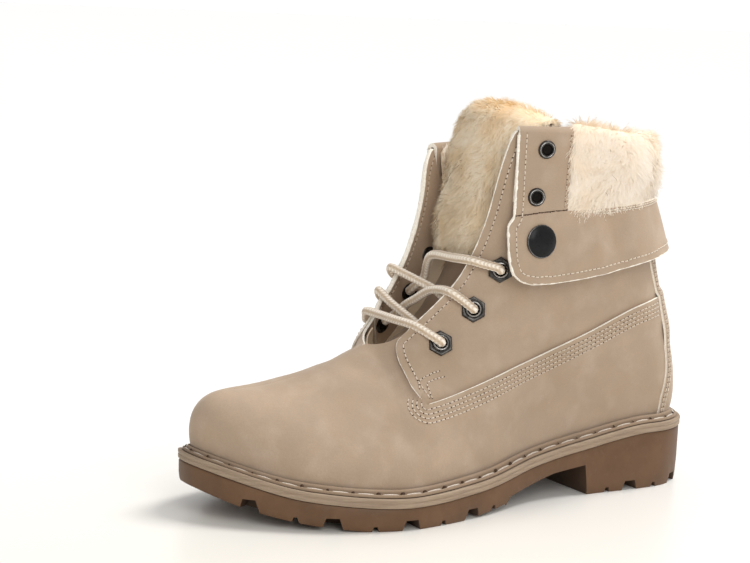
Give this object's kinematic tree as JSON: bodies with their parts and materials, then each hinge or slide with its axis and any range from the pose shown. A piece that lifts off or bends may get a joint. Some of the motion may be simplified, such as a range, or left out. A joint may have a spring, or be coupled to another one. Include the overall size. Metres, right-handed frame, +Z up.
{
  "type": "fleece-lined lace-up ankle boot",
  "caption": "Left ankle boot of work-boot shape with a welted lug sole, laced throat and a snapped fold-down cuff that turns out its fleece lining.",
  "frame": {"origin": "on the ground under the heel, in the middle of the heel's flat", "axes": "+X to the outer side of the left foot, -Y towards the toe, +Z up"},
  "size_m": [0.1063, 0.275, 0.1939],
  "materials": {
    "sole_rubber": "moulded, matt brown",
    "midsole_rubber": "moulded, finely ribbed, light tan",
    "nubuck": "napped, matt, pale cut edges",
    "fleece": "deep cream pile",
    "lining": "short cream pile",
    "gunmetal": "dark grey plated, satin",
    "snap_metal": "black plated, glossy",
    "lace_cord": "round woven cord"
  },
  "bodies": {
    "root": {"outsole": "sole_rubber", "midsole": "midsole_rubber", "welt": "nubuck", "insole": "lining", "upper": "nubuck", "back_stay": "nubuck", "cuff_leather": "nubuck", "cuff_fleece": "fleece", "tongue": "fleece", "hex_eyelet_lateral_1": "gunmetal", "hex_eyelet_lateral_2": "gunmetal", "hex_eyelet_lateral_3": "gunmetal", "cuff_eyelet_lateral_1": "gunmetal", "cuff_eyelet_lateral_2": "gunmetal", "snap_lateral": "snap_metal", "hex_eyelet_medial_1": "gunmetal", "hex_eyelet_medial_2": "gunmetal", "hex_eyelet_medial_3": "gunmetal", "cuff_eyelet_medial_1": "gunmetal", "cuff_eyelet_medial_2": "gunmetal", "snap_medial": "snap_metal", "lace_lower": "lace_cord", "lace_middle": "lace_cord", "lace_upper": "lace_cord"}
  },
  "joints": []
}
